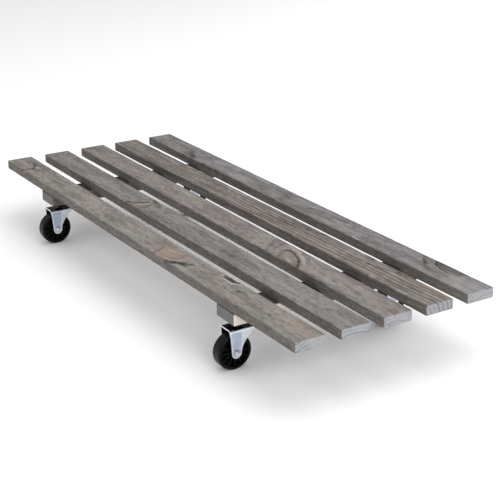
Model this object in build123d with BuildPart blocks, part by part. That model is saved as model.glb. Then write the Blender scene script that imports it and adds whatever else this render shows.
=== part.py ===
# Rolling plant caddy: five softwood slats on two cross battens and four swivel casters.
# Lengths are in millimetres. X runs along the slats, Y across them, Z up from the floor.
# The origin is on the floor, under the middle of the whole caddy's outline.

import os

from build123d import *

# Slats, which lie by hand: the gaps between them differ a little from end to end
slat_length = 890.0
slat_width = 45.0
slat_thickness = 14.5
slat_edge_radius = 1.5
slat_gaps_left = (26.0, 26.0, 23.5, 26.5)
slat_gaps_right = (23.4, 21.0, 23.5, 24.7)

# Cross battens, cut flush with the outer slats
batten_width = 44.0
batten_thickness = 17.0
batten_edge_radius = 1.0
batten_setback_left = 169.0
batten_setback_right = 158.3

# Countersunk screws that hold the slats from below
slat_screw_diameter = 4.0
slat_screw_head = 7.6
slat_screw_sink = 0.6
slat_screw_cover = 6.0
slat_screw_step_x = 8.0
slat_screw_step_y = 10.0

# Casters, all swung the same way
caster_inset = 30.0
trail = 20.0

# Top plate and its screws
plate_length = 54.0
plate_width = 42.0
plate_thickness = 2.0
plate_corner_radius = 4.0
plate_screw_spacing_x = 30.0
plate_screw_spacing_y = 42.0
plate_screw_diameter = 3.8
plate_screw_head = 7.4
plate_screw_head_height = 2.3
plate_screw_cover = 6.0

# Swivel bearing
bearing_height = 8.1
bearing_ring_radius = 15.0
bearing_ring_bore = 18.0
bearing_ring_round = 2.2
kingpin_diameter = 8.0
kingpin_rivet_diameter = 11.6
kingpin_rivet_height = 2.2
washer_diameter = 17.0
washer_thickness = 1.4

# Fork, pressed from sheet
fork_sheet = 2.0
fork_bend_radius = 1.4
fork_head_room = 7.1
fork_nose_radius = 15.5
leg_end_radius = 7.4
leg_heel_reach = 10.6
leg_throat_height = 21.6
leg_throat_reach = 18.4
leg_flare_reach = 33.0
panel_depth = 0.7
panel_border = 2.4
panel_top_gap = 4.6

# Wheel
wheel_diameter = 50.8
tread_width = 16.5
tread_shoulder = 1.8
rim_thickness = 4.2
web_thickness = 3.0
hub_diameter = 15.0
hub_proud = 1.9
hub_side_gap = 0.3
spoke_count = 12
spoke_thickness = 1.6
spoke_setback = 1.3

# Axle bolt, its nut and the bush that the wheel turns on
axle_diameter = 5.0
axle_head_diameter = 9.0
axle_head_height = 2.4
axle_tip = 1.0
nut_across_flats = 8.0
nut_height = 3.4
nut_collar_height = 1.3
bush_diameter = 8.0

# Fits
hole_fit = 0.05
running_fit = 0.06
blind_gap = 0.3
cross_slot_width = 1.1
cross_slot_share = 0.6
cross_slot_depth = 1.2

# Heights that follow, from the floor up
wheel_radius = wheel_diameter / 2
axle_height = wheel_radius
crown_bottom = axle_height + wheel_radius + fork_head_room
crown_top = crown_bottom + fork_sheet
plate_bottom = crown_top + bearing_height
batten_bottom = plate_bottom + plate_thickness
batten_top = batten_bottom + batten_thickness
slat_top = batten_top + slat_thickness
slat_screw_seat = batten_bottom + slat_screw_sink
slat_screw_tip = slat_top - slat_screw_cover
plate_screw_tip = batten_top - plate_screw_cover

# Widths that follow, along the axle
hub_length = tread_width + 2 * hub_proud
fork_inner_width = hub_length + 2 * hub_side_gap
fork_outer_width = fork_inner_width + 2 * fork_sheet
panel_face = fork_outer_width / 2 - panel_depth
crown_rise = crown_top - axle_height

# Plan positions that follow
batten_x = {
    "left": -slat_length / 2 + batten_setback_left,
    "right": slat_length / 2 - batten_setback_right,
}
slat_count = len(slat_gaps_left) + 1


def slat_offsets(gaps):
    # Slat centre lines across one end, measured from the middle of the deck
    offsets = [0.0]
    for gap in gaps:
        offsets.append(offsets[-1] + slat_width + gap)
    return [offset - offsets[-1] / 2 for offset in offsets]


offsets_left = slat_offsets(slat_gaps_left)
offsets_right = slat_offsets(slat_gaps_right)


def slat_offset_at(index, x):
    share = x / slat_length + 0.5
    return offsets_left[index] + share * (offsets_right[index] - offsets_left[index])


def batten_length(side):
    span = slat_offset_at(slat_count - 1, batten_x[side]) - slat_offset_at(0, batten_x[side])
    return span + slat_width


def wheel_reach(side):
    # How far the trailing wheels stand out from the deck's middle line
    return batten_length(side) / 2 - caster_inset + trail + wheel_radius


# The front wheels stand proud of the deck, so the deck lies a little off the origin
front_edge = max(wheel_reach("left"), wheel_reach("right"), slat_width / 2 - offsets_left[0])
back_edge = max(offsets_left[-1], offsets_right[-1]) + slat_width / 2
deck_y = (front_edge - back_edge) / 2


def slat_plane(index, height):
    # The slat's own level plane, with x along the slat
    run = (slat_length, offsets_right[index] - offsets_left[index], 0)
    middle = deck_y + (offsets_left[index] + offsets_right[index]) / 2
    return Plane(origin=(0, middle, height), x_dir=run, z_dir=(0, 0, 1))


def slat_screws_on(index, side):
    # Two screws on a diagonal where a slat crosses a batten
    x = batten_x[side]
    y = deck_y + slat_offset_at(index, x)
    return [
        (x - slat_screw_step_x, y - slat_screw_step_y),
        (x + slat_screw_step_x, y + slat_screw_step_y),
    ]


def kingpin_place(side, row):
    reach = batten_length(side) / 2 - caster_inset
    return batten_x[side], deck_y + (reach if row == "back" else -reach)


def plate_screws_at(x, y):
    step_x = plate_screw_spacing_x / 2
    step_y = plate_screw_spacing_y / 2
    return [(x + sx * step_x, y + sy * step_y) for sx in (-1, 1) for sy in (-1, 1)]


def front_plane(x, y, height):
    # Upright plane that looks along Y: local x is X and local y is Z
    return Plane(origin=(x, y, height), x_dir=(1, 0, 0), z_dir=(0, -1, 0))


def side_plane(x, y, height):
    # Upright plane that looks along X: local x is Y and local y is Z
    return Plane(origin=(x, y, height), x_dir=(0, 1, 0), z_dir=(1, 0, 0))


def save(piece, label):
    piece.part.label = label
    export_step(piece.part, f"parts/{label}.step")


os.makedirs("parts", exist_ok=True)


# Slats
def make_slat(index):
    with BuildPart() as slat:
        with BuildSketch(slat_plane(index, batten_top)):
            Rectangle(slat_length, slat_width)
        extrude(amount=slat_thickness)
        fillet(slat.edges().filter_by(lambda edge: edge.length > slat_length / 2), slat_edge_radius)
        with BuildSketch(Plane.XY.offset(batten_top)):
            with Locations(*[spot for side in batten_x for spot in slat_screws_on(index, side)]):
                Circle(slat_screw_diameter / 2 + hole_fit)
        extrude(amount=slat_screw_tip + blind_gap - batten_top, mode=Mode.SUBTRACT)
    save(slat, f"slat_{index + 1}")


# Battens, with the holes for the slat screws and the plate screws
def make_batten(side):
    x = batten_x[side]
    slat_spots = [spot for i in range(slat_count) for spot in slat_screws_on(i, side)]
    plate_spots = [
        spot for row in ("front", "back") for spot in plate_screws_at(*kingpin_place(side, row))
    ]
    head_rise = (slat_screw_head - slat_screw_diameter) / 2
    with BuildPart() as batten:
        with BuildSketch(Plane.XY.offset(batten_bottom)):
            with Locations((x, deck_y)):
                Rectangle(batten_width, batten_length(side))
        extrude(amount=batten_thickness)
        fillet(batten.edges().filter_by(Axis.Y), batten_edge_radius)
        with BuildSketch(Plane.XY.offset(batten_bottom)):
            with Locations(*slat_spots):
                Circle(slat_screw_diameter / 2 + hole_fit)
        extrude(amount=batten_thickness, mode=Mode.SUBTRACT)
        with BuildSketch(Plane.XY.offset(batten_bottom)):
            with Locations(*plate_spots):
                Circle(plate_screw_diameter / 2 + hole_fit)
        extrude(amount=plate_screw_tip + blind_gap - batten_bottom, mode=Mode.SUBTRACT)
        for spot_x, spot_y in slat_spots:
            with BuildSketch(front_plane(spot_x, spot_y, batten_bottom)):
                with BuildLine():
                    Polyline(
                        (0, 0),
                        (slat_screw_head / 2 + hole_fit, 0),
                        (slat_screw_head / 2 + hole_fit, slat_screw_sink),
                        (slat_screw_diameter / 2 + hole_fit, slat_screw_sink + head_rise),
                        (0, slat_screw_sink + head_rise),
                        close=True,
                    )
                make_face()
            revolve(axis=Axis((spot_x, spot_y, 0), (0, 0, 1)), mode=Mode.SUBTRACT)
    save(batten, f"batten_{side}")


# Slat screws, head down; each thread is its outer cylinder
def make_slat_screws(side):
    shank = slat_screw_diameter / 2
    head = slat_screw_head / 2
    rise = slat_screw_tip - slat_screw_seat
    slot = slat_screw_head * cross_slot_share
    with BuildPart() as screws:
        for x, y in [spot for i in range(slat_count) for spot in slat_screws_on(i, side)]:
            with BuildSketch(front_plane(x, y, slat_screw_seat)):
                with BuildLine():
                    Polyline(
                        (0, 0),
                        (head, 0),
                        (shank, head - shank),
                        (shank, rise - slat_screw_diameter),
                        (0, rise),
                        close=True,
                    )
                make_face()
            revolve(axis=Axis((x, y, 0), (0, 0, 1)))
            with BuildSketch(Plane.XY.offset(slat_screw_seat)):
                with Locations((x, y)):
                    Rectangle(slot, cross_slot_width)
                    Rectangle(cross_slot_width, slot)
            extrude(amount=cross_slot_depth, mode=Mode.SUBTRACT)
    save(screws, f"slat_screws_{side}")


# Caster plate, with the countersink for the kingpin's head
def make_plate(x, y, name):
    with BuildPart() as plate:
        with BuildSketch(Plane.XY.offset(plate_bottom)):
            with Locations((x, y)):
                RectangleRounded(plate_width, plate_length, plate_corner_radius)
            with Locations(*plate_screws_at(x, y)):
                Circle(plate_screw_diameter / 2 + hole_fit, mode=Mode.SUBTRACT)
        extrude(amount=plate_thickness)
        with BuildSketch(front_plane(x, y, plate_bottom)):
            with BuildLine():
                Polyline(
                    (0, 0),
                    (kingpin_diameter / 2 + hole_fit, 0),
                    (kingpin_diameter / 2 + hole_fit + plate_thickness, plate_thickness),
                    (0, plate_thickness),
                    close=True,
                )
            make_face()
        revolve(axis=Axis((x, y, 0), (0, 0, 1)), mode=Mode.SUBTRACT)
    save(plate, f"plate_{name}")


# Pan-head screws through the plate, up into the batten
def make_plate_screws(x, y, name):
    shank = plate_screw_diameter / 2
    head = plate_screw_head / 2
    rise = plate_screw_tip - plate_bottom
    slot = plate_screw_head * cross_slot_share
    with BuildPart() as screws:
        for spot_x, spot_y in plate_screws_at(x, y):
            with BuildSketch(front_plane(spot_x, spot_y, plate_bottom)):
                with BuildLine():
                    Line((0, -plate_screw_head_height), (0, rise))
                    Line((0, rise), (shank, rise - plate_screw_diameter))
                    Line((shank, rise - plate_screw_diameter), (shank, 0))
                    Line((shank, 0), (head, 0))
                    Spline(
                        (head, 0),
                        (0, -plate_screw_head_height),
                        tangents=((0, -1), (-1, 0)),
                    )
                make_face()
            revolve(axis=Axis((spot_x, spot_y, 0), (0, 0, 1)))
            with BuildSketch(Plane.XY.offset(plate_bottom - plate_screw_head_height)):
                with Locations((spot_x, spot_y)):
                    Rectangle(slot, cross_slot_width)
                    Rectangle(cross_slot_width, slot)
            extrude(amount=cross_slot_depth, mode=Mode.SUBTRACT)
    save(screws, f"plate_screws_{name}")


# Kingpin, flush with the plate above and riveted over a washer below the crown
def make_kingpin(x, y, name):
    pin = kingpin_diameter / 2
    rivet = kingpin_rivet_diameter / 2
    rivet_top = crown_bottom - washer_thickness
    with BuildPart() as kingpin:
        with BuildSketch(front_plane(x, y, 0)):
            with BuildLine():
                Polyline(
                    (0, batten_bottom),
                    (pin + plate_thickness, batten_bottom),
                    (pin, plate_bottom),
                    (pin, rivet_top),
                    (rivet, rivet_top),
                    (rivet, rivet_top - kingpin_rivet_height / 2),
                    (rivet * 0.7, rivet_top - kingpin_rivet_height),
                    (0, rivet_top - kingpin_rivet_height),
                    close=True,
                )
            make_face()
        revolve(axis=Axis((x, y, 0), (0, 0, 1)))
    save(kingpin, f"kingpin_{name}")


def make_washer(x, y, name):
    with BuildPart() as washer:
        with BuildSketch(Plane.XY.offset(crown_bottom - washer_thickness)):
            with Locations((x, y)):
                Circle(washer_diameter / 2)
                Circle(kingpin_diameter / 2 + hole_fit, mode=Mode.SUBTRACT)
        extrude(amount=washer_thickness)
    save(washer, f"kingpin_washer_{name}")


# Bearing ring, which closes the space between the crown and the plate
def make_bearing_ring(x, y, name):
    bore = bearing_ring_bore / 2
    wall = bearing_ring_radius - bore
    with BuildPart() as ring:
        with BuildSketch(front_plane(x, y, crown_top)) as section:
            with Locations((bore + wall / 2, bearing_height / 2)):
                Rectangle(wall, bearing_height)
            fillet(section.vertices().sort_by(Axis.X)[-2:], bearing_ring_round)
        revolve(axis=Axis((x, y, 0), (0, 0, 1)))
    save(ring, f"bearing_ring_{name}")


# Fork: a bent channel, cut to the leg's side view and to the crown's plan
def make_fork(x, y, name):
    wheel_y = y - trail
    reach = trail + fork_nose_radius
    length = leg_heel_reach + reach
    depth = crown_rise + leg_end_radius
    drop = crown_rise - fork_sheet
    heel_slope = (leg_heel_reach - leg_end_radius) / crown_rise
    panel_end = leg_end_radius - panel_border
    panel_top = crown_rise - panel_top_gap
    with BuildPart() as fork:
        with BuildSketch(front_plane(x, wheel_y + reach, crown_top)) as outer:
            with Locations((0, -depth / 2)):
                Rectangle(fork_outer_width, depth)
            fillet(outer.vertices().sort_by(Axis.Y)[-2:], fork_bend_radius + fork_sheet)
        extrude(amount=length)
        with BuildSketch(front_plane(x, wheel_y + reach, crown_bottom)) as inner:
            with Locations((0, -depth / 2)):
                Rectangle(fork_inner_width, depth)
            fillet(inner.vertices().sort_by(Axis.Y)[-2:], fork_bend_radius)
        extrude(amount=length, mode=Mode.SUBTRACT)
        with BuildSketch(side_plane(x, wheel_y, axle_height)):
            with BuildLine():
                Line((-leg_heel_reach, crown_rise), (-leg_end_radius, 0))
                ThreePointArc((-leg_end_radius, 0), (0, -leg_end_radius), (leg_end_radius, 0))
                Spline(
                    (leg_end_radius, 0),
                    (leg_throat_reach, leg_throat_height),
                    (leg_flare_reach, drop),
                    tangents=((0.1, 1), (1, 0.35)),
                )
                Line((leg_flare_reach, drop), (reach, drop))
                Line((reach, drop), (reach, crown_rise))
                Line((reach, crown_rise), (-leg_heel_reach, crown_rise))
            make_face()
        extrude(amount=fork_outer_width / 2, both=True, mode=Mode.INTERSECT)
        with BuildSketch(Plane.XY.offset(crown_top)):
            with Locations((x, y)):
                Circle(fork_nose_radius)
            with Locations((x, y - (trail + leg_heel_reach) / 2)):
                Rectangle(fork_outer_width, trail + leg_heel_reach)
        extrude(amount=-depth, mode=Mode.INTERSECT)
        with BuildSketch(side_plane(x + panel_face, wheel_y, axle_height)):
            with BuildLine():
                Polyline(
                    (-panel_end, 0),
                    (-panel_end - heel_slope * panel_top, panel_top),
                    (panel_end + heel_slope * panel_top, panel_top),
                    (panel_end, 0),
                )
                ThreePointArc((panel_end, 0), (0, -panel_end), (-panel_end, 0))
            make_face()
        extrude(amount=panel_depth, mode=Mode.SUBTRACT)
        with BuildSketch(side_plane(x - panel_face, wheel_y, axle_height)):
            with BuildLine():
                Polyline(
                    (-panel_end, 0),
                    (-panel_end - heel_slope * panel_top, panel_top),
                    (panel_end + heel_slope * panel_top, panel_top),
                    (panel_end, 0),
                )
                ThreePointArc((panel_end, 0), (0, -panel_end), (-panel_end, 0))
            make_face()
        extrude(amount=-panel_depth, mode=Mode.SUBTRACT)
        with BuildSketch(side_plane(x, wheel_y, axle_height)):
            Circle(axle_diameter / 2 + hole_fit)
        extrude(amount=fork_outer_width / 2, both=True, mode=Mode.SUBTRACT)
        with BuildSketch(Plane.XY.offset(crown_bottom)):
            with Locations((x, y)):
                Circle(kingpin_diameter / 2 + running_fit)
        extrude(amount=fork_sheet, mode=Mode.SUBTRACT)
    save(fork, f"fork_{name}")


# Axle bolt, with a round head on the left and its nut on the right
def make_axle_bolt(x, y, name):
    shank = axle_diameter / 2
    head = axle_head_diameter / 2
    tip = panel_face + nut_height + nut_collar_height + axle_tip
    with BuildPart() as bolt:
        with BuildSketch(front_plane(x, y - trail, axle_height)):
            with BuildLine():
                Polyline(
                    (-panel_face - axle_head_height, 0),
                    (-panel_face - axle_head_height, head * 0.55),
                    (-panel_face - axle_head_height * 0.8, head * 0.8),
                    (-panel_face - axle_head_height * 0.35, head),
                    (-panel_face, head),
                    (-panel_face, shank),
                    (tip - axle_tip / 2, shank),
                    (tip, shank - axle_tip / 2),
                    (tip, 0),
                    close=True,
                )
            make_face()
        revolve(axis=Axis((x, y - trail, axle_height), (1, 0, 0)))
    save(bolt, f"axle_bolt_{name}")


def make_axle_nut(x, y, name):
    with BuildPart() as nut:
        with BuildSketch(side_plane(x + panel_face, y - trail, axle_height)):
            RegularPolygon(nut_across_flats / 2, 6, major_radius=False)
        extrude(amount=nut_height)
        chamfer(nut.faces().sort_by(Axis.X)[-1].edges(), nut_height * 0.12)
        with BuildSketch(side_plane(x + panel_face + nut_height, y - trail, axle_height)):
            Circle(nut_across_flats / 2 * 0.86)
        extrude(amount=nut_collar_height)
        fillet(nut.faces().sort_by(Axis.X)[-1].edges(), nut_collar_height * 0.5)
        with BuildSketch(side_plane(x + panel_face, y - trail, axle_height)):
            Circle(axle_diameter / 2 + hole_fit)
        extrude(amount=nut_height + nut_collar_height, mode=Mode.SUBTRACT)
    save(nut, f"axle_nut_{name}")


def make_bush(x, y, name):
    with BuildPart() as bush:
        with BuildSketch(side_plane(x, y - trail, axle_height)):
            Circle(bush_diameter / 2)
            Circle(axle_diameter / 2 + hole_fit, mode=Mode.SUBTRACT)
        extrude(amount=fork_inner_width / 2, both=True)
    save(bush, f"axle_bush_{name}")


# Wheel, moulded in one piece with radial spokes on both faces
def make_wheel(x, y, name):
    bore = bush_diameter / 2 + running_fit
    hub = hub_diameter / 2
    rim_inside = wheel_radius - rim_thickness
    with BuildPart() as wheel:
        with BuildSketch(front_plane(x, y - trail, axle_height)) as section:
            with Locations((0, wheel_radius - rim_thickness / 2)):
                Rectangle(tread_width, rim_thickness)
            fillet(section.vertices().sort_by(Axis.Y)[-2:], tread_shoulder)
            with Locations((0, (bore + wheel_radius) / 2 - rim_thickness / 4)):
                Rectangle(web_thickness, wheel_radius - rim_thickness / 2 - bore)
            with Locations((0, (bore + hub) / 2)):
                Rectangle(hub_length, hub - bore)
        revolve(axis=Axis((x, y - trail, axle_height), (1, 0, 0)))
        with BuildSketch(side_plane(x, y - trail, axle_height)):
            with PolarLocations((hub + rim_inside) / 2, spoke_count):
                Rectangle(rim_inside - hub + spoke_thickness, spoke_thickness)
        extrude(amount=tread_width / 2 - spoke_setback, both=True)
        with BuildSketch(side_plane(x, y - trail, axle_height)):
            Circle(bore)
        extrude(amount=hub_length / 2, both=True, mode=Mode.SUBTRACT)
    save(wheel, f"wheel_{name}")


for slat_index in range(slat_count):
    make_slat(slat_index)

for side_name in batten_x:
    make_batten(side_name)
    make_slat_screws(side_name)
    for row_name in ("front", "back"):
        pin_x, pin_y = kingpin_place(side_name, row_name)
        caster_name = f"{side_name}_{row_name}"
        make_plate(pin_x, pin_y, caster_name)
        make_plate_screws(pin_x, pin_y, caster_name)
        make_kingpin(pin_x, pin_y, caster_name)
        make_washer(pin_x, pin_y, caster_name)
        make_bearing_ring(pin_x, pin_y, caster_name)
        make_fork(pin_x, pin_y, caster_name)
        make_axle_bolt(pin_x, pin_y, caster_name)
        make_axle_nut(pin_x, pin_y, caster_name)
        make_bush(pin_x, pin_y, caster_name)
        make_wheel(pin_x, pin_y, caster_name)
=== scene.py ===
# Plant caddy: grey glazed pine slats on two battens, with zinc plated casters and black wheels.
import math
from functools import partial

import bmesh
import bpy
import numpy as np
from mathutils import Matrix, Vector


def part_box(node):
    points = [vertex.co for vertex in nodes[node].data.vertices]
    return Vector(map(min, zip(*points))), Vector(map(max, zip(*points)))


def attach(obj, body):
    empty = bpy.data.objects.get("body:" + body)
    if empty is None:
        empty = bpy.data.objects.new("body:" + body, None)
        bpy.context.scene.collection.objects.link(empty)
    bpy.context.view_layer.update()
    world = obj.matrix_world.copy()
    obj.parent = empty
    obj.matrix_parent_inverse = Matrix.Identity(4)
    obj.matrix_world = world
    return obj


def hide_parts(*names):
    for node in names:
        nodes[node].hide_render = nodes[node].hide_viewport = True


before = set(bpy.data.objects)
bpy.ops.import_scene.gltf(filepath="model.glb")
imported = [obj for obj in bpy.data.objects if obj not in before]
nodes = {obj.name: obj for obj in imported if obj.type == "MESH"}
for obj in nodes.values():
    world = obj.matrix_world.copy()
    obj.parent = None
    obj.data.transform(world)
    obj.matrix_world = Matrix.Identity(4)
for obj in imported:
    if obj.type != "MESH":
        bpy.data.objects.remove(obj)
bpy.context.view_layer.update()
print("stage: frame loaded")


def linearColour(code, alpha=1.0):
    # An sRGB hex code made a linear colour
    parts = [int(code[i:i + 2], 16) / 255 for i in (0, 2, 4)]
    linear = [c / 12.92 if c <= 0.04045 else ((c + 0.055) / 1.055) ** 2.4 for c in parts]
    return (*linear, alpha)


# Camera, at the photograph's viewing angle: angles in radians, lengths in m, and a focal length
# in pixels of a picture of the given width
cameraView = {
    "azimuth": 1.00359,
    "elevation": 0.367338,
    "distance": 1.70727,
    "target": (0.157116, -0.03172, 0.1015),
    "focalPixels": 1197.65,
    "pictureWidth": 500,
    "sensorWidth": 36,
}


def makeCamera(look):
    az, el = look["azimuth"], look["elevation"]
    back = Vector((math.sin(az) * math.cos(el), -math.cos(az) * math.cos(el), math.sin(el)))
    data = bpy.data.cameras.new("camera")
    data.sensor_width = look["sensorWidth"]
    data.lens = look["focalPixels"] / look["pictureWidth"] * look["sensorWidth"]
    data.clip_start = 0.05
    data.clip_end = 50
    camera = bpy.data.objects.new("camera", data)
    camera.location = Vector(look["target"]) + back * look["distance"]
    camera.rotation_mode = "QUATERNION"
    camera.rotation_quaternion = (-back).to_track_quat("-Z", "Y")
    bpy.context.scene.collection.objects.link(camera)
    bpy.context.scene.camera = camera


makeCamera(cameraView)


def addNode(tree, kind, inputs=None, output=0, stops=None, **settings):
    # A node with its settings, colour stops and inputs, each a socket to link or a value to set.
    # It gives back one output, or the node itself where output is None
    node = tree.nodes.new("ShaderNode" + kind)
    for key, value in settings.items():
        setattr(node, key, value)
    for key, value in (inputs or {}).items():
        if isinstance(value, bpy.types.NodeSocket):
            tree.links.new(value, node.inputs[key])
        else:
            node.inputs[key].default_value = value
    if stops:
        elements = node.color_ramp.elements
        while len(elements) < len(stops):
            elements.new(1.0)
        for element, (place, colour) in zip(elements, stops):
            element.position = place
            element.color = colour
    return node if output is None else node.outputs[output]


def layOver(tree, colour, layers):
    # Tones laid over a colour one by one: each layer is an amount, its share and its tone
    for amount, share, tone in layers:
        factor = addNode(tree, "Math", {0: amount, 1: share}, operation="MULTIPLY")
        colour = addNode(tree, "Mix", {0: factor, 6: colour, 7: tone}, 2, data_type="RGBA")
    return colour


def startMaterial(name):
    # A new material with only its main shader and its output
    material = bpy.data.materials.new(name)
    material.use_nodes = True
    tree = material.node_tree
    tree.nodes.clear()
    shader = addNode(tree, "BsdfPrincipled", output=None)
    addNode(tree, "OutputMaterial", {"Surface": shader.outputs[0]}, None)
    return material, tree, shader


def smoothNoise(points, seed, waves=7):
    # Sum of seeded sine waves of random direction over the last axis, about -1 to 1
    rng = np.random.default_rng(seed)
    gain = 1.1
    total = np.zeros(points.shape[:-1])
    for _ in range(waves):
        direction = rng.normal(size=points.shape[-1])
        total += np.sin(points @ direction + rng.uniform(0, 2 * np.pi))
    return total / math.sqrt(waves) * gain


def smoothStep(low, high, x):
    # 0 up to low, 1 from high on, and 3 t squared less 2 t cubed between them
    t = np.clip((x - low) / (high - low), 0, 1)
    return t * t * (3 - 2 * t)


# Glazed pine: softwood planed, then brushed with a thin grey glaze. The glaze is matt and lets
# the darker late-wood lines, the knots and the warm wood below show through
def glazedPine(name, look):
    material, tree, shader = startMaterial(name)
    add = partial(addNode, tree)
    read = {
        key: add("Attribute", output="Fac", attribute_name=key)
        for key in (
            "growth", "knot", "knotWarm", "cut", "bare", "edge", "shade", "dark", "pale", "warm", "sideShade",
        )
    }
    fibre = add("Attribute", output="Vector", attribute_name="fibre")
    seed = look["seed"]

    # Noise on the wood's own mm: turns per mm along and across the grain, detail, roughness, start
    noise = {}
    for key, (along, across, detail, roughness, start) in {
        "wander": (0.011, 0.05, 2.0, 0.55, seed),
        "patch": (0.006, 0.04, 1.0, 0.55, seed + 4),
        "band": (0.009, 0.28, 2.0, 0.6, seed + 6),
        "streak": (0.03, 1.0, 3.0, 0.55, seed + 9),
        "fine": (0.09, 3.2, 3.0, 0.65, seed + 15),
        "broad": (0.0045, 0.045, 3.0, 0.6, seed + 21),
        "hue": (0.012, 0.11, 2.0, 0.55, seed + 30),
        "mottle": (0.085, 0.26, 3.0, 0.62, seed + 37),
        "cloudy": (0.014, 0.07, 2.0, 0.5, seed + 43),
        "gnarl": (0.07, 0.22, 4.0, 0.55, 3.0),
        "rubbing": (0.05, 0.3, 3.0, 0.55, 41.0),
        "pores": (0.8, 0.8, 3.0, 0.7, 52.0),
    }.items():
        scaled = add(
            "VectorMath", {0: fibre, 1: (along, across, across), 2: (start, start * 0.7, start * 1.3)},
            operation="MULTIPLY_ADD",
        )
        noise[key] = add(
            "TexNoise", {"Vector": scaled, "Scale": 1.0, "Detail": detail, "Roughness": roughness}, "Fac"
        )

    # Growth lines: the place within a ring, with the late wood at its outer side, and each ring
    # and each stretch of the board showing it more or less
    rings = add("Math", {0: read["growth"], 1: look["ring"]}, operation="DIVIDE")
    rings = add("Math", {0: noise["wander"], 1: 0.9, 2: rings}, operation="MULTIPLY_ADD")
    within = add("Math", {0: rings}, operation="FRACT")
    ringIndex = add("Math", {0: rings}, operation="FLOOR")
    ringWeight = add("TexWhiteNoise", {"W": ringIndex}, noise_dimensions="1D")
    ringWeight = add("Math", {0: ringWeight, 1: 0.7, 2: 0.5}, operation="MULTIPLY_ADD")

    # Knots: the distance from the heart, 1 at the rim, made uneven
    gnarled = add("Math", {0: noise["gnarl"], 1: 1.3, 2: -0.65}, operation="MULTIPLY_ADD")
    knot = add("Math", {0: read["knot"], 1: gnarled}, operation="ADD")

    # Amounts that rise smoothly from 0 to 1 as a pattern passes from low to high
    amount = {}
    for key, (pattern, low, high) in {
        "ringEnd": (within, 1.0, 0.88),
        "patch": (noise["patch"], 0.32, 0.62),
        "band": (noise["band"], 0.48, 0.7),
        "streak": (noise["streak"], 0.38, 0.72),
        "rawStreak": (noise["streak"], 0.4, 0.8),
        "fine": (noise["fine"], 0.5, 0.78),
        "mottleDark": (noise["mottle"], 0.48, 0.66),
        "mottlePale": (noise["mottle"], 0.46, 0.31),
        "mottleEnd": (noise["mottle"], 0.48, 0.7),
        "cloudDark": (noise["cloudy"], 0.5, 0.66),
        "cloudPale": (noise["cloudy"], 0.48, 0.34),
        "rubbing": (noise["rubbing"], 0.5, 0.72),
        "pores": (noise["pores"], 0.42, 0.72),
        "knotInner": (knot, 0.6, 0.85),
        "knotOuter": (knot, 1.12, 0.95),
        "knotHeart": (knot, 1.1, 0.8),
        "knotHalo": (knot, 2.3, 0.9),
    }.items():
        amount[key] = add(
            "MapRange", {"Value": pattern, "From Min": low, "From Max": high},
            interpolation_type="SMOOTHSTEP",
        )
    stretch = add(
        "Math", {0: amount["patch"], 1: 1 - look["lateEven"], 2: look["lateEven"]}, operation="MULTIPLY_ADD"
    )
    late = add("Math", {0: within, 1: look["lateSharp"]}, operation="POWER")
    for part in (amount["ringEnd"], ringWeight, stretch):
        late = add("Math", {0: late, 1: part}, operation="MULTIPLY")

    # Glaze: broad tones, mottling 4 to 15 mm long where the brush left more or less of it, then
    # the late wood and the fibres, drawn 0.3 to 1 mm wide so that they show
    glaze = add("ValToRGB", {"Fac": noise["broad"]}, stops=look["glaze"])
    tint = add("ValToRGB", {"Fac": noise["hue"]}, stops=look["tint"])
    colour = layOver(tree, glaze, [
        (0.5, 1.0, tint),
        (amount["mottleDark"], 0.68, look["streakDark"]),
        (amount["mottlePale"], 0.62, look["streakLight"]),
        (amount["cloudDark"], 0.42, look["streakDark"]),
        (amount["cloudPale"], 0.3, look["streakLight"]),
        (amount["band"], look["bandShare"], look["streakDark"]),
        (late, look["lateShare"], look["lateColour"]),
        (amount["streak"], 0.45, look["streakDark"]),
        (amount["fine"], 0.3, look["streakLight"]),
    ])

    # Knots: close rings inside, a broken dark rim, and a warm halo round the warm ones
    knotRing = add("Math", {0: knot, 1: 4.5}, operation="MULTIPLY")
    knotRing = add("Math", {0: knotRing}, operation="FRACT")
    knotRing = add("Math", {0: knotRing, 1: 2.0}, operation="POWER")
    heart = layOver(tree, look["knotCold"], [
        (read["knotWarm"], 1.0, look["knotHot"]),
        (knotRing, 0.35, look["knotDark"]),
    ])
    rim = add("Math", {0: noise["streak"], 1: 1.2, 2: 0.1}, operation="MULTIPLY_ADD")
    for part in (amount["knotInner"], amount["knotOuter"]):
        rim = add("Math", {0: rim, 1: part}, operation="MULTIPLY")
    halo = add("Math", {0: amount["knotHalo"], 1: 0.4}, operation="MULTIPLY")

    # Marks as listed, broken up by the grain, then a painted shadow line and real wear along the arrises,
    # and painted shade on the long sides
    broken = add("Math", {0: noise["streak"], 1: 0.7, 2: -0.1}, operation="MULTIPLY_ADD")
    broken = add("Math", {0: noise["mottle"], 1: 1.5, 2: broken}, operation="MULTIPLY_ADD")
    sideShadeShare = add("Math", {0: noise["mottle"], 1: 0.7, 2: 0.15}, operation="MULTIPLY_ADD")
    worn = add("Math", {0: amount["rubbing"], 1: 0.55}, operation="MULTIPLY")
    colour = layOver(tree, colour, [
        (halo, read["knotWarm"], look["knotHot"]),
        (amount["knotHeart"], 0.3, heart),
        (rim, 0.25, look["knotDark"]),
        (read["warm"], broken, look["knotHot"]),
        (read["pale"], broken, look["worn"]),
        (read["dark"], broken, look["knotDark"]),
        # a painted shadow line along the arrises; real wear on them comes last
        (read["edge"], 0.36, look["streakDark"]),
        (read["sideShade"], sideShadeShare, look["flankColour"]),
        (read["edge"], worn, look["worn"]),
    ])

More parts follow.
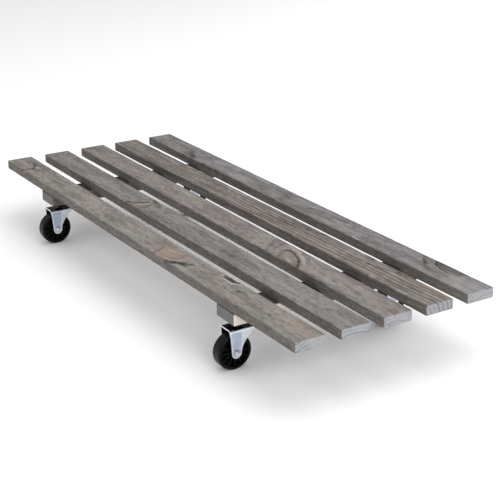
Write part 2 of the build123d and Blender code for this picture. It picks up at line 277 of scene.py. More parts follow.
    # Sawn end grain is pale blue-grey with dark ring arcs and pores. A face left bare is cream
    endColour = layOver(tree, look["endPale"], [
        (late, 0.8, look["endDark"]),
        (amount["pores"], 0.5, look["endDark"]),
        (amount["mottleEnd"], 0.35, look["endDark"]),
    ])
    rawColour = layOver(tree, look["rawPale"], [
        (late, 0.75, look["rawLate"]),
        (amount["rawStreak"], 0.25, look["rawLate"]),
    ])
    # Last comes the painted shade, blended to its tone: on the batten tops under the slats and in the chip
    # hollows
    colour = layOver(tree, colour, [
        (read["cut"], 1.0, endColour),
        (read["bare"], 1.0, rawColour),
        (read["shade"], 1.0, look["deep"]),
    ])
    tree.links.new(colour, shader.inputs["Base Color"])

    rough = add("Math", {0: late, 1: -0.1, 2: look["roughness"]}, operation="MULTIPLY_ADD")
    rough = add("Math", {0: noise["streak"], 1: 0.16, 2: rough}, operation="MULTIPLY_ADD")
    tree.links.new(rough, shader.inputs["Roughness"])
    shader.inputs["IOR"].default_value = 1.5
    shader.inputs["Specular IOR Level"].default_value = 0.16
    height = add("Math", {0: noise["fine"], 1: 0.5}, operation="MULTIPLY")
    for pattern, share in ((late, 0.35), (noise["streak"], 0.6), (rim, -0.7), (noise["pores"], read["cut"])):
        height = add("Math", {0: pattern, 1: share, 2: height}, operation="MULTIPLY_ADD")
    relief = add("Bump", {"Height": height, "Strength": 0.55, "Distance": 0.00035})
    tree.links.new(relief, shader.inputs["Normal"])
    return material


# Colours and shares of the pine. Each board adds its own tones and changes what differs
pine = {
    "ring": 5.2,
    "lateSharp": 2.0,
    "lateEven": 0.3,
    "bandShare": 0.35,
    "lateShare": 0.4,
    "lateColour": "4d433d",
    "streakDark": "57514e",
    "streakLight": "a09c98",
    "flankColour": "5b554f",
    "knotHot": "8f7e71",
    "knotCold": "55504e",
    "knotDark": "332e2a",
    "worn": "a8a6a4",
    "endPale": "a7a8ab",
    "endDark": "5c5b5c",
    "rawPale": "ece3d6",
    "rawLate": "c9ac8c",
    "deep": "2c2a29",
    "roughness": 0.7,
}


def toneStops(places, codes):
    # Colour stops from places between 0 and 1 and their hex codes
    return [(place, linearColour(code)) for place, code in zip(places, codes)]


def pineLook(seed, glaze, tint, changes):
    # One board's look, with every hex code made a linear colour
    look = {
        key: linearColour(value) if isinstance(value, str) else value
        for key, value in {**pine, **changes}.items()
    }
    look["seed"] = seed
    look["glaze"] = toneStops((0.3, 0.44, 0.56, 0.7), glaze)
    look["tint"] = toneStops((0.3, 0.45, 0.58, 0.72), tint)
    return look


def strokeDistance(s, a, points):
    # Distance in mm from each place on the board to a line through the points
    nearest = np.full(s.shape, 1e6)
    for (s0, a0), (s1, a1) in zip(points[:-1], points[1:]):
        ds, da = s1 - s0, a1 - a0
        t = np.clip(((s - s0) * ds + (a - a0) * da) / (ds * ds + da * da), 0, 1)
        nearest = np.minimum(nearest, np.hypot(s - s0 - t * ds, a - a0 - t * da))
    return nearest


def boardOutline(board):
    # Rounded rectangle across the board: a quarter circle at each corner, joined by straight runs
    # with their points about one pitch apart. It gives the points and their outward normals
    width, thick, radius = board["width"], board["thick"], board["round"]
    arcPoints = 6
    centres = [
        (width / 2 - radius, thick - radius, 0),
        (radius - width / 2, thick - radius, 90),
        (radius - width / 2, radius, 180),
        (width / 2 - radius, radius, 270),
    ]
    points, normals = [], []
    for index, (a, h, start) in enumerate(centres):
        angle = np.radians(start + np.linspace(0, 90, arcPoints))
        normal = np.stack([np.cos(angle), np.sin(angle)], 1)
        arc = normal * radius + (a, h)
        nextA, nextH, nextStart = centres[(index + 1) % 4]
        nextNormal = np.array([math.cos(math.radians(nextStart)), math.sin(math.radians(nextStart))])
        target = nextNormal * radius + (nextA, nextH)
        count = max(2, int(round(np.linalg.norm(target - arc[-1]) / board["pitch"])))
        run = arc[-1] + (target - arc[-1]) * (np.arange(1, count) / count)[:, None]
        points += [arc, run]
        normals += [normal, np.repeat(nextNormal[None], count - 1, 0)]
    return np.concatenate(points), np.concatenate(normals)


def boardStations(board):
    # Places along the board. Round each end, s = r (1 - cos t) and the outline is drawn in by
    # r (1 - sin t) as t runs over a quarter turn. The end face is closed by rings that share the
    # way to its middle line from 0 to 1. Between the ends the step is finer where a mark lies
    length, endRound = board["length"], board["endRound"]
    turnPoints, faceRings, rulerStep, margin = 5, 9, 0.25, 2.0
    turn = np.radians(np.linspace(0, 90, turnPoints))
    ring = np.linspace(1, 0, faceRings)[:-1]
    ruler = np.arange(endRound, length - endRound, rulerStep)
    rate = np.full(ruler.shape, 1 / board["step"])
    for _, wide, _, points in board.get("marks", ()):
        near = [s + length / 2 for s, _ in points]
        inside = (ruler > min(near) - wide - margin) & (ruler < max(near) + wide + margin)
        rate[inside] = 1 / board["fineStep"]
    count = np.cumsum(rate) * rulerStep
    body = np.interp(np.arange(1, int(count[-1])), count, ruler)
    endS = np.concatenate([ring * 0, endRound * (1 - np.cos(turn))])
    endInset = np.concatenate([ring * 0 + endRound, endRound * (1 - np.sin(turn))])
    endShare = np.concatenate([ring, turn * 0])
    s = np.concatenate([endS, body, (length - endS)[::-1]]) - length / 2
    inset = np.concatenate([endInset, body * 0, endInset[::-1]])
    share = np.concatenate([endShare, body * 0, endShare[::-1]])
    return s, inset, share


def growthLines(board, s, a, h):
    # Growth is the distance in mm from a pith that drifts and wanders below or beside the board.
    # A knot is an ellipse, with its reach 1 at the rim. It bends the lines and the fibres, and
    # raises the face, by a bell curve over its reach
    seed = board["seed"]
    pithA, pithH, driftA, driftH = board["pith"]
    wander, wanderLength, bellS, bellA, fibrePush = 2.2, 170, 2.6, 2.0, -0.35
    farAway, topShare, lowerReach, ringShift = 9.0, 0.35, 1.5, 7.3
    wobble = smoothNoise(np.stack([s / wanderLength, s * 0], -1), seed + 1, 5)
    growth = np.hypot(a - pithA - driftA * s / 100 - wander * wobble, h - pithH - driftH * s / 100)
    growth = growth + seed * ringShift
    knot = np.full(a.shape, farAway)
    warm, raised, fibreA = np.zeros(a.shape), np.zeros(a.shape), a.copy()
    for knotS, knotA, radiusS, radiusA, tilt, hot, bend, relief in board["knots"]:
        along = (s - knotS) * math.cos(tilt) + (a - knotA) * math.sin(tilt)
        across = -(s - knotS) * math.sin(tilt) + (a - knotA) * math.cos(tilt)
        reach = np.hypot(along / radiusS, across / radiusA)
        warm = np.where(reach < knot, hot, warm)
        knot = np.minimum(knot, reach)
        pull = np.exp(-((along / (radiusS * bellS)) ** 2) - (across / (radiusA * bellA)) ** 2)
        growth = growth + bend * pull
        fibreA = fibreA + np.sign(a - knotA + 1e-6) * fibrePush * radiusA * pull
        raised = raised + relief * np.exp(-(reach ** 2))
    knot = np.where(h < board["thick"] * topShare, knot + lowerReach, knot)
    return {"growth": growth, "knot": knot, "knotWarm": warm}, fibreA, raised


def handMarks(board, s, a, h):
    # Each mark is a line through its points, full along its middle and gone at half its width
    # plus the fade. The place where it is looked up drifts by smooth noise, and so does its strength
    seed = board["seed"]
    marks = {kind: np.zeros(a.shape) for kind in ("dark", "pale", "warm")}
    waveS, waveA, mostS, mostA = 7, 4, 2.0, 0.9
    downShare, fade, full = 0.7, 1.5, 0.15
    spread = np.stack([s / waveS, a / waveA], -1)
    driftS = mostS * smoothNoise(spread, seed + 8)
    driftA = mostA * smoothNoise(spread, seed + 9)
    weight = 0.85 + 0.3 * smoothNoise(spread * 0.8, seed + 10)
    for kind, wide, strength, points in board.get("marks", ()):
        away = strokeDistance(s + driftS, a + driftA, points)
        away = np.hypot(away, (board["thick"] - h) * downShare)
        value = strength * smoothStep(1.0, full, away / (wide / 2 + fade))
        marks[kind] = np.maximum(marks[kind], value * weight)
    return marks


def tornChips(board, s, a, h):
    # A chip is a hollow with a flat floor and smooth sides, its floor torn by smooth noise. It
    # gives the depth in mm and the painted shade in the hollow
    thick = board["thick"]
    slant, deepestShade, floorS, floorA = 0.25, 0.75, 0.7, 0.65
    tearS, tearA, tearDepth = 2.2, 1.1, 0.25
    hollow, dark = np.zeros(a.shape), np.zeros(a.shape)
    for chipS, chipA, halfS, halfA, depth in board.get("chips", ()):
        plan = smoothStep(1.0, floorS, np.abs(s - chipS + slant * (a - chipA)) / halfS)
        plan = plan * smoothStep(1.0, floorA, np.abs(a - chipA) / halfA)
        torn = smoothNoise(np.stack([s / tearS, a / tearA], -1), board["seed"] + 5)
        torn = 1 - tearDepth + tearDepth * torn
        hollow = hollow + depth * plan * torn * smoothStep(thick * 0.4, thick, h)
        dark = np.maximum(dark, deepestShade * plan * smoothStep(thick * 0.5, thick, h))
    return hollow, dark


def boardFaces(board, s, a, h, onEnd):
    # Which finish or painted shade lies where: the end face cut across the grain, painted shade on the long
    # sides, the arrises as exp(-distance / width) for a painted shadow line and real wear, a side that
    # was left bare as far as bareTo, and painted shade on a top under the slats
    width, thick = board["width"], board["thick"]
    arrisWidth, flankIn, flankDown, shadeDown, bareFade = 1.5, 0.6, 1.6, 1.5, 30
    cornerA = np.maximum(width / 2 - np.abs(a), 0)
    cornerH = np.minimum(thick - h, h)
    corner = np.maximum(cornerA, cornerH)
    faces = {
        "cut": onEnd * np.ones(a.shape),
        "edge": np.exp(-corner / arrisWidth),
        # painted shade on the long sides, below the top
        "sideShade": smoothStep(flankIn, 0.0, width / 2 - np.abs(a)) * smoothStep(thick, thick - flankDown, h),
        "bare": np.zeros(a.shape),
        "shade": smoothStep(thick - shadeDown, thick - 0.2, h) * board.get("slatShadeOnTop", 0.0),
    }
    if "bareSide" in board:
        side = smoothStep(width / 2 - 1.2, width / 2 - 0.3, a * board["bareSide"])
        faces["bare"] = side * smoothStep(board["bareTo"], board["bareTo"] - bareFade, s)
    return faces, corner


def boardWarp(board, s, a, h, corner, raised, hollow):
    # How far each place moves across and up, in mm. Up is in proportion to its height: cup times
    # the square of a, bow times the square of s, fine waves and the knots, less the chips. Across
    # is crook times 1 less the square of s, and slow waves. The arrises are rubbed in unevenly
    seed, width, thick = board["seed"], board["width"], board["thick"]
    waveUp, waveS, waveA, swayMost, swayS = 0.06, 60, 22, 0.12, 90
    rubEven, rubVaried, rubMost, rubS, rubWidth = 0.05, 0.14, 0.4, 9, 1.0
    farShare = 2 * s / board["length"]
    up = np.clip(h / thick, 0, 1) * (
        board["cup"] * (a / (width / 2)) ** 2
        + board["bow"] * farShare ** 2
        + waveUp * smoothNoise(np.stack([s / waveS, a / waveA], -1), seed + 2)
        + raised
    )
    side, face = np.sign(a), np.sign(h - thick / 2)
    sway = swayMost * smoothNoise(np.stack([s / swayS, side * 3], -1), seed + 3)
    sway = sway + board.get("crook", 0.0) * (1 - farShare ** 2)
    rub = smoothNoise(np.stack([s / rubS, side * 2 + face], -1), seed + 4)
    rub = np.clip(rubEven + rubVaried * rub, 0, rubMost) * np.exp(-corner / rubWidth)
    return sway, up - hollow, side * rub, face * rub


def tubeMesh(name, place, layers, fibre):
    # A tube of quads over a grid of places in mm. Its first and last rows lie on the middle lines
    # of the end faces, where welding closes them
    rows, columns = place.shape[:2]
    i, j = np.meshgrid(np.arange(rows - 1), np.arange(columns), indexing="ij")
    k = (j + 1) % columns
    quads = np.stack([i * columns + j, (i + 1) * columns + j, (i + 1) * columns + k, i * columns + k], -1)
    mesh = bpy.data.meshes.new(name)
    mesh.from_pydata((place.reshape(-1, 3) / 1000).tolist(), [], quads.reshape(-1, 4)[:, ::-1].tolist())
    for key, values in layers.items():
        layer = mesh.attributes.new(key, "FLOAT", "POINT")
        layer.data.foreach_set("value", values.ravel().astype(np.float32))
    layer = mesh.attributes.new("fibre", "FLOAT_VECTOR", "POINT")
    layer.data.foreach_set("vector", fibre.ravel().astype(np.float32))
    weldClose(mesh)
    mesh.shade_smooth()
    return mesh


def weldClose(mesh, distance=0.00001):
    # Joins what lies within a hundredth of a millimetre, which closes the end faces, and turns
    # every face outwards
    work = bmesh.new()
    work.from_mesh(mesh)
    bmesh.ops.remove_doubles(work, verts=work.verts, dist=distance)
    bmesh.ops.dissolve_degenerate(work, edges=work.edges, dist=distance)
    bmesh.ops.recalc_face_normals(work, faces=work.faces)
    work.to_mesh(mesh)
    work.free()


def boardPiece(name, board, material):
    # The outline swept along the board, drawn in round the ends and closed over each end face.
    # Lengths are in mm: s along the board, a across it, h up from its underside
    width, thick = board["width"], board["thick"]
    outline, normal = boardOutline(board)
    s, inset, share = boardStations(board)
    reach = (width - thick) / 2
    middle = np.stack([np.clip(outline[:, 0], -reach, reach), outline[:, 1] * 0 + thick / 2], 1)
    flat = outline[None] - normal[None] * inset[:, None, None]
    flat = flat + (middle[None] - flat) * share[:, None, None]
    cutFrom = 0.35 * board["endRound"]
    onEnd = ((share > 0) | (inset > cutFrom))[:, None]
    onBody = 1 - share[:, None]
    s = np.repeat(s[:, None], len(outline), 1)
    a, h = flat[..., 0], flat[..., 1]

    layers, fibreA, raised = growthLines(board, s, a, h)
    marks = handMarks(board, s, a, h)
    faces, corner = boardFaces(board, s, a, h, onEnd)
    hollow, dark = tornChips(board, s, a, h)
    # The chip hollows add painted shade
    faces["shade"] = np.maximum(faces["shade"], dark)
    sway, up, rubA, rubH = boardWarp(board, s, a, h, corner, raised, hollow)

    origin, alongDir, acrossDir = (np.array(v, float) for v in board["frame"])
    place = origin + s[..., None] * alongDir + (a + sway - rubA * onBody)[..., None] * acrossDir
    place = place + (h + up - rubH * onBody)[..., None] * np.array([0, 0, 1.0])
    fibreShift = np.array([131.0, 17.0, 5.0])
    fibre = np.stack([s, fibreA, h], -1) + board["seed"] * fibreShift
    mesh = tubeMesh(name, place, {**layers, **faces, **marks}, fibre)
    mesh.materials.append(material)
    piece = bpy.data.objects.new(name, mesh)
    bpy.context.scene.collection.objects.link(piece)
    return piece


def measureSlat(solid):
    # Size and frame of a slat in mm, read from its solid. It lies a little askew, and its slope is
    # that of the line between the middles of its two ends, told from what lies near each end
    points = np.array([solid.matrix_world @ vertex.co for vertex in solid.data.vertices]) * 1000
    low, high = points.min(0), points.max(0)
    endReach = 1.5
    ends = [points[np.abs(points[:, 0] - x) < endReach, 1] for x in (low[0], high[0])]
    rise = (ends[1].min() + ends[1].max() - ends[0].min() - ends[0].max()) / 2
    alongDir = np.array([high[0] - low[0], rise, 0])
    alongDir = alongDir / np.linalg.norm(alongDir)
    acrossDir = np.array([-alongDir[1], alongDir[0], 0])
    length, width = (round(float(np.ptp(points @ direction)), 2) for direction in (alongDir, acrossDir))
    origin = ((low[0] + high[0]) / 2, (low[1] + high[1]) / 2, low[2])
    return {
        "length": length, "width": width, "thick": round(float(high[2] - low[2]), 2),
        "frame": (origin, alongDir, acrossDir),
    }


# Slats, with s and a in mm from the middle. The pith is (a, h, drift of a, drift of h per 100 mm),
# a knot is (s, a, radius along, radius across, tilt, warmth, ring bend, relief), a chip is
# (s, a, half length, half width, depth), and a mark is a kind, a width, a strength and its line
slatMaking = {"round": 1.2, "endRound": 0.9, "pitch": 0.95, "step": 2.5, "fineStep": 1.4}
slats = {
    1: {
        "glaze": ("827973", "89827e", "928c85", "858281"),
        "tint": ("927e77", "8b8683", "8f8d81", "828680"),
        "pith": (6, -76, 2.0, 3.0), "cup": -0.1, "bow": 0.2, "lateShare": 0.35,
        "knots": [(-375, -9, 9, 8, 0.9, 0.6, 5, 0.1), (108, -4, 26, 12, 0.2, 0.8, 6, 0.05)],
        "chips": [(236, 19.5, 15, 4.6, 0.9)],
        "marks": [
            ("dark", 8, 0.6, [(-402, 11), (-386, 3), (-370, -6)]),
            ("dark", 7, 0.9, [(-374, -3), (-377, -22)]),
            ("dark", 6, 0.5, [(-368, -5), (-346, 3)]),
            ("warm", 18, 0.5, [(-384, -8), (-364, -10)]),
            ("pale", 3, 0.7, [(-379, 2), (-374, 5)]),
            ("warm", 24, 0.9, [(92, -10), (110, -3), (120, 0)]),
            ("pale", 6, 0.5, [(96, 4), (124, 8)]),
            ("dark", 3, 0.5, [(82, -2), (89, -19)]),
            ("dark", 8, 1.2, [(126, -22), (141, -19)]),
            ("dark", 12, 1.1, [(139, -18), (149, -10), (160, -2)]),
            ("dark", 3, 1.0, [(276, 1), (281, 6), (285, 9)]),
            ("dark", 1.6, 0.45, [(366, 20), (361, 2), (365, -16)]),
            ("warm", 40, 0.3, [(385, 4), (440, 2)]),
            ("dark", 3, 1.4, [(219, 22), (222, 15), (249, 15), (253, 22)]),
            ("dark", 2, 1.0, [(226, 19), (247, 19)]),
            ("pale", 2, 1.0, [(216, 19), (224, 11.5), (252, 11.5), (257, 20)]),
            ("dark", 3, 0.4, [(-420, 12), (-330, 17)]),
        ],
    },
    2: {
        "glaze": ("787473", "7f7c7a", "878481", "7a7877"),
        "tint": ("817576", "807e7d", "86877e", "777f79"),
        "pith": (-14, -90, 2.5, 2.0), "cup": 0.1, "bow": 0.1, "lateShare": 0.4,
        "knots": [(-106, -8, 14, 16, 0.9, 0.5, 6, 0.12)],
        "marks": [
            ("warm", 16, 0.7, [(-108, -20), (-101, 4)]),
            ("pale", 3, 0.8, [(-112, -14), (-101, 2)]),
            ("dark", 5, 1.2, [(-128, -20), (-118, -6), (-108, 7)]),
            ("dark", 4, 1.0, [(-93, -21), (-89, -8), (-95, 5)]),
            ("dark", 3, 0.7, [(-112, -22), (-100, -4)]),
            ("dark", 13, 0.8, [(-110, 21), (-96, 12), (-80, 9)]),
            # Painted highlight: this pale mark is the glint on the knot, painted into the colour
            ("pale", 3, 1.0, [(-93, 8), (-89, 9)]),
            ("dark", 4, 0.4, [(-127, 2), (-113, 21)]),
            ("dark", 2.5, 0.4, [(-78, -6), (-20, -7), (45, -4)]),
            ("dark", 2.5, 0.35, [(-80, -14), (-5, -14)]),
            ("dark", 3, 0.35, [(60, 3), (110, -3), (170, -4)]),
            ("dark", 20, 0.2, [(-440, 10), (-425, -16)]),
            ("warm", 10, 0.3, [(-430, 2), (-360, 2)]),
        ],
    },
    3: {
        "glaze": ("807975", "86807c", "8d8682", "837d78"),
        "tint": ("8e7b7a", "89827f", "8e8980", "82847d"),
        "pith": (5, -84, -2.0, 2.4), "cup": -0.1, "bow": 0.3, "crook": 1.2, "lateShare": 0.35,
        "knots": [(217, -11, 33, 13, -0.32, 0.35, 7, 0.12)],
        "marks": [
            ("dark", 3, 1.0, [(184, 3), (190, 7), (203, 7), (219, 1), (234, -8), (250, -19)]),
            ("dark", 4, 0.6, [(184, 3), (191, -8), (199, -20)]),
            ("warm", 16, 0.4, [(200, -4), (222, -14)]),
            ("pale", 2.5, 0.6, [(203, 13), (222, 9), (246, -6)]),
            ("pale", 4, 0.6, [(172, 16), (206, 14)]),
            ("dark", 4, 0.45, [(198, 20), (224, 17), (247, 0)]),
            ("dark", 9, 0.55, [(140, 20), (158, -4), (168, -20)]),
            ("dark", 10, 0.5, [(156, 18), (168, 2), (182, -16)]),
            ("pale", 3, 0.6, [(206, -10), (224, -18)]),
            ("dark", 24, 0.25, [(-440, 0), (-432, -16)]),
            ("dark", 3, 0.4, [(-445, 19), (-350, 19), (-260, 20)]),
            ("dark", 4, 0.35, [(140, -21), (240, -22), (330, -21)]),
        ],
    },
    4: {
        "glaze": ("847c78", "8c847f", "968f89", "86807b"),
        "tint": ("8b7976", "8f8680", "9c9586", "86887e"),
        "pith": (-66, -20, 2.6, 0.6), "cup": 0.05, "bow": 0.15, "lateShare": 1.0,
        "lateColour": "2a2421", "ring": 6.6, "lateSharp": 1.25, "lateEven": 0.75, "crook": 1.0,
        "knots": [(-234, 12, 17, 5, 0.25, 0.5, 6, 0.1), (272, 20, 9, 6, 0.2, 0.3, 5, 0.1)],
        "marks": [
            ("dark", 12, 0.6, [(-383, 19), (-355, 20)]),
            ("warm", 8, 0.6, [(-252, 12), (-225, 17)]),
            ("dark", 3.5, 0.7, [(-256, 10), (-238, 11), (-214, 19)]),
            ("dark", 5, 0.8, [(262, 23), (271, 16), (282, 17)]),
            ("warm", 9, 0.7, [(345, 21), (440, 20)]),
            ("dark", 4, 0.7, [(60, 5), (118, 8), (144, 14), (168, 21), (250, 22)]),
            ("dark", 4, 0.6, [(290, 2), (318, 9), (340, 17), (380, 22)]),
            ("pale", 4, 0.6, [(327, -22), (353, -22)]),
            ("pale", 4, 0.6, [(383, -22), (400, -22)]),
        ],
    },
    5: {
        "glaze": ("747375", "7b7b7c", "848384", "76777a"),
        "tint": ("7b7174", "7c7c7e", "838480", "717a79"),
        "pith": (10, -76, 3.0, -2.0), "cup": -0.05, "bow": 0.25, "lateShare": 0.45,
        "knots": [(366, 24, 25, 18, 0.0, 0.2, 9, 0.15), (-300, -12, 17, 6, -0.5, 0.15, 6, 0.1)],
        "marks": [
            ("dark", 14, 0.6, [(-332, 10), (-318, -2), (-300, -12), (-283, -19)]),
            ("dark", 4, 0.85, [(-318, -3), (-300, -10), (-280, -19)]),
            ("dark", 16, 0.35, [(-322, -8), (-312, -20)]),
            ("dark", 4, 1.15, [(334, 22), (344, 11), (357, 5), (372, 4), (387, 9), (397, 21)]),
            ("dark", 3, 0.6, [(344, 22), (354, 12), (370, 9), (382, 14), (388, 22)]),
            ("dark", 26, 0.75, [(346, 20), (386, 20)]),
            ("dark", 9, 0.75, [(309, 21), (324, 8), (340, -4), (354, -13)]),
            ("dark", 18, 0.65, [(312, 22), (333, 14)]),
            ("dark", 5, 0.65, [(52, -3), (65, 4), (95, 8), (140, 8)]),
            ("pale", 4, 1.0, [(196, -20), (207, -21)]),
            ("pale", 60, 0.3, [(400, -4), (460, -8)]),
            ("dark", 20, 0.3, [(-22, 17), (-5, -12)]),
            ("dark", 6, 0.5, [(-245, -22), (-110, -22)]),
            ("warm", 16, 0.3, [(-400, -12), (-330, -16)]),
        ],
    },
}

for number, board in slats.items():
    node = f"slat_{number}"
    changes = {key: board[key] for key in pine if key in board}
    look = pineLook(number * 3.7, board["glaze"], board["tint"], changes)
    shape = {**slatMaking, **board, **measureSlat(nodes[node]), "seed": number}
    piece = boardPiece(f"slatBoard{number}", shape, glazedPine(f"glazedPineSlat{number}", look))
    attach(piece, "deck")
    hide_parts(node)
print("stage: slats")


# Battens, with painted shade on top where the slats shade them; the right one's outer side was left bare
battenMaking = {
    "round": 1.0, "endRound": 0.9, "pitch": 0.95, "step": 2.0, "cup": 0.0, "bow": 0.0, "knots": [],
    "glaze": ("6d6863", "75706b", "7d7872", "6f6b68"),
    "tint": ("6d6864", "76716c", "7d786f", "6c6b69"),
    "ring": 3.1, "bandShare": 0.4, "lateShare": 0.6, "endPale": "7d7c7b", "endDark": "585654",
    "slatShadeOnTop": 0.8,
}
battens = {
    "left": {"seed": 11, "pith": (4, -38, 2.0, 1.0)},
    "right": {"seed": 12, "pith": (-12, 44, 2.0, 1.0), "bareSide": -1, "bareTo": -45},
}
for side, board in battens.items():
    node = f"batten_{side}"
    low, high = (v * 1000 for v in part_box(node))
    shape = {**battenMaking, **board}
    shape["length"], shape["width"], shape["thick"] = high.y - low.y, high.x - low.x, high.z - low.z
    shape["frame"] = (((low.x + high.x) / 2, (low.y + high.y) / 2, low.z), (0, 1, 0), (-1, 0, 0))
    changes = {key: shape[key] for key in pine if key in shape}
    look = pineLook(board["seed"] * 1.3, shape["glaze"], shape["tint"], changes)
    piece = boardPiece(f"battenBoard_{side}", shape, glazedPine(f"glazedPineBatten_{side}", look))
    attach(piece, "deck")
    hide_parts(node)
print("stage: battens")


# Zinc plated steel: pressed or turned, then barrel plated. It is bright and slightly blue, with
# clouding about 7 mm wide and faint rolling marks about 1 mm wide
def zincSteel(name, look):
    material, tree, shader = startMaterial(name)
    add = partial(addNode, tree)
    place = add("TexCoord", output="Object")
    cloud = add("TexNoise", {"Vector": place, "Scale": 140.0, "Detail": 3.0, "Roughness": 0.6}, "Fac")
    stretched = add("VectorMath", {0: place, 1: look["drawn"]}, operation="MULTIPLY")
    drawn = add("TexNoise", {"Vector": stretched, "Scale": 1.0, "Detail": 4.0, "Roughness": 0.6}, "Fac")
    colour = add("ValToRGB", {"Fac": cloud}, stops=toneStops((0.3, 0.55, 0.75), look["tones"]))
    if "middle" in look:
        # The pressed panel on each leg, told by its distance from the fork's middle plane, gets a painted
        # darker, bluer reflection
        off = add("SeparateXYZ", {0: place})
        off = add("Math", {0: off, 1: look["middle"]}, operation="SUBTRACT")
        off = add("Math", {0: off}, operation="ABSOLUTE")
        past = add("Math", {0: off, 1: look["panelNear"]}, operation="GREATER_THAN")
        short = add("Math", {0: off, 1: look["panelFar"]}, operation="LESS_THAN")
        inPanel = add("Math", {0: past, 1: short}, operation="MULTIPLY")
        colour = add(
            "Mix", {0: inPanel, 6: colour, 7: linearColour(look["panelReflectionTone"])}, 2,
            data_type="RGBA", blend_type="MULTIPLY",
        )
        # The crown's upper side is painted near black: a painted reflection of the dark plate and deck above
        # it, with painted shade
        height = add("SeparateXYZ", {0: place}, 2)
        facing = add("SeparateXYZ", {0: add("NewGeometry", output="Normal")}, 2)
        high = add("Math", {0: height, 1: look["crownShadeFrom"]}, operation="GREATER_THAN")
        upward = add("Math", {0: facing, 1: look["crownShadeFacing"]}, operation="GREATER_THAN")
        crownShaded = add("Math", {0: high, 1: upward}, operation="MULTIPLY")
        colour = layOver(tree, colour, [(crownShaded, 1.0, linearColour(look["crownShadeTone"]))])
    tree.links.new(colour, shader.inputs["Base Color"])
    shader.inputs["Metallic"].default_value = 1.0
    spread = 0.18
    rough = add("Math", {0: drawn, 1: spread, 2: look["roughness"] - spread / 2}, operation="MULTIPLY_ADD")
    tree.links.new(rough, shader.inputs["Roughness"])
    relief = add("Bump", {"Height": drawn, "Strength": 0.08, "Distance": 0.00005})
    tree.links.new(relief, shader.inputs["Normal"])
    return material


# Moulded plastic and black paint: a fine texture 0.3 to 0.7 mm wide, a soft sheen, and scuffs
# about 11 mm wide that are greyer and duller
def mouldedPlastic(name, look):
    material, tree, shader = startMaterial(name)
    add = partial(addNode, tree)
    place = add("TexCoord", output="Object")
    grain = add("TexNoise", {"Vector": place, "Scale": look["grit"], "Detail": 2.0, "Roughness": 0.5}, "Fac")
    scuff = add("TexNoise", {"Vector": place, "Scale": 90.0, "Detail": 4.0, "Roughness": 0.7}, "Fac")
    colour = add("ValToRGB", {"Fac": scuff}, stops=toneStops((0.45, 0.8), look["tones"]))
    tree.links.new(colour, shader.inputs["Base Color"])
    spread = 0.3
    rough = add("Math", {0: scuff, 1: spread, 2: look["roughness"] - spread / 2}, operation="MULTIPLY_ADD")
    tree.links.new(rough, shader.inputs["Roughness"])
    shader.inputs["IOR"].default_value = 1.49
    shader.inputs["Specular IOR Level"].default_value = 0.14
    relief = add("Bump", {"Height": grain, "Strength": 0.3, "Distance": 0.00008})
    tree.links.new(relief, shader.inputs["Normal"])
    return material


# Tones from dark to light, and the turns of the drawn marks per m. A fork's panels, with their painted
# reflection, and its crown's painted shade and reflection are told by metres from its middle plane and above
# the floor
zincLooks = {
    "fork": {
        "tones": ("dfe3eb", "ebeef4", "f6f7fa"), "roughness": 0.2, "drawn": (900.0, 900.0, 120.0),
        "panelNear": 0.0114, "panelFar": 0.0121, "panelReflectionTone": "d4deee",
        "crownShadeFrom": 0.0585, "crownShadeFacing": 0.85, "crownShadeTone": "17181d",
    },
    "turned": {
        "tones": ("d4d6da", "dfe1e4", "e9eaec"), "roughness": 0.34, "drawn": (700.0, 700.0, 700.0),
    },
    "screw": {
        "tones": ("a7a9ad", "bbbdc0", "cccdcf"), "roughness": 0.32, "drawn": (800.0, 800.0, 800.0),
    },
}
plasticLooks = {
    "mouldedPolypropylene": {"tones": ("060607", "19191c"), "roughness": 0.34, "grit": 2600.0},
    "blackPaintedSteel": {"tones": ("08080a", "19191b"), "roughness": 0.3, "grit": 1500.0},
    "mouldedNylonCover": {"tones": ("0b0b0d", "1c1c1f"), "roughness": 0.25, "grit": 3200.0},
}

finishes = {}
for side in ("left", "right"):
    low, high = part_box(f"kingpin_{side}_front")
    look = {**zincLooks["fork"], "middle": (low.x + high.x) / 2}
    finishes[f"fork_{side}"] = zincSteel(f"zincForkSteel_{side}", look)
turnedZinc = zincSteel("zincTurnedSteel", zincLooks["turned"])
for kind in ("kingpin", "kingpin_washer", "axle_bolt", "axle_nut", "axle_bush"):
    finishes[kind] = turnedZinc
screwZinc = zincSteel("zincScrewSteel", zincLooks["screw"])
for kind in ("plate_screws", "slat_screws"):
    finishes[kind] = screwZinc
for kind, name in (
    ("wheel", "mouldedPolypropylene"), ("plate", "blackPaintedSteel"), ("bearing_ring", "mouldedNylonCover"),
):
    finishes[kind] = mouldedPlastic(name, plasticLooks[name])
for name, piece in nodes.items():
    kind = next((k for k in sorted(finishes, key=len, reverse=True) if name.startswith(k)), None)
    if kind:
        piece.data.materials.clear()
        piece.data.materials.append(finishes[kind])
print("stage: hardware")


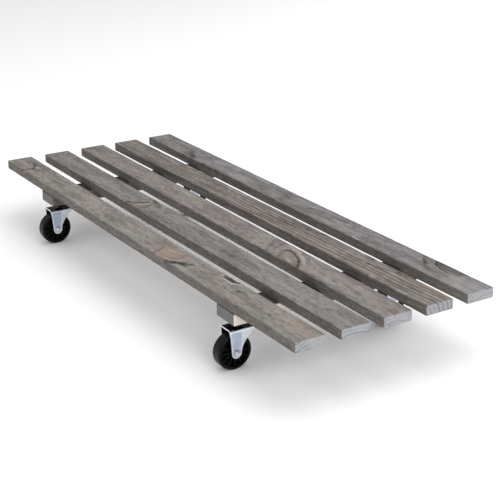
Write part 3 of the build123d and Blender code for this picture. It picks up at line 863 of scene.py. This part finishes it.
# Plain pale floor: half its width in m, its colour, roughness and sheen
floorLook = {"half": 12.0, "colour": "fafafa", "roughness": 0.9, "sheen": 0.1}


def makeFloor(look):
    half = look["half"]
    mesh = bpy.data.meshes.new("floor")
    mesh.from_pydata(
        [(-half, -half, 0), (half, -half, 0), (half, half, 0), (-half, half, 0)], [], [(0, 1, 2, 3)]
    )
    floor = bpy.data.objects.new("floor", mesh)
    bpy.context.scene.collection.objects.link(floor)
    material, tree, shader = startMaterial("paleStudioFloor")
    shader.inputs["Base Color"].default_value = linearColour(look["colour"])
    shader.inputs["Roughness"].default_value = look["roughness"]
    shader.inputs["Specular IOR Level"].default_value = look["sheen"]
    mesh.materials.append(material)


# Each light has its place, what it points at, its width and height in m, power in W and colour
lights = {
    "topLight": ((0.3, 0.5, 2.6), (0, 0, 0), (3.0, 2.4), 36.0, "ffffff"),
    "endLight": ((2.8, -0.5, 1.3), (0, 0, 0.08), (1.8, 1.2), 30.0, "fafbff"),
    "frontLight": ((-0.6, -2.6, 1.0), (0, 0, 0.05), (2.0, 1.0), 1.5, "ffffff"),
    "farLight": ((-0.6, 3.2, 0.9), (0, 0, 0), (3.0, 0.8), 26.0, "ffffff"),
}
skyStrength = 0.68


def makeLight(name, place, target, size, power, colour):
    data = bpy.data.lights.new(name, "AREA")
    data.shape = "RECTANGLE"
    data.size, data.size_y = size
    data.energy = power
    data.color = linearColour(colour)[:3]
    light = bpy.data.objects.new(name, data)
    light.location = place
    light.rotation_mode = "QUATERNION"
    light.rotation_quaternion = (Vector(target) - Vector(place)).to_track_quat("-Z", "Y")
    bpy.context.scene.collection.objects.link(light)


makeFloor(floorLook)
for name, light in lights.items():
    makeLight(name, *light)

# Pale studio surroundings, shown as they are
world = bpy.data.worlds.new("studio")
world.use_nodes = True
world.node_tree.nodes["Background"].inputs[0].default_value = linearColour("ffffff")
world.node_tree.nodes["Background"].inputs[1].default_value = skyStrength
bpy.context.scene.world = world
bpy.context.scene.view_settings.view_transform = "Standard"
print("stage: floor and light")
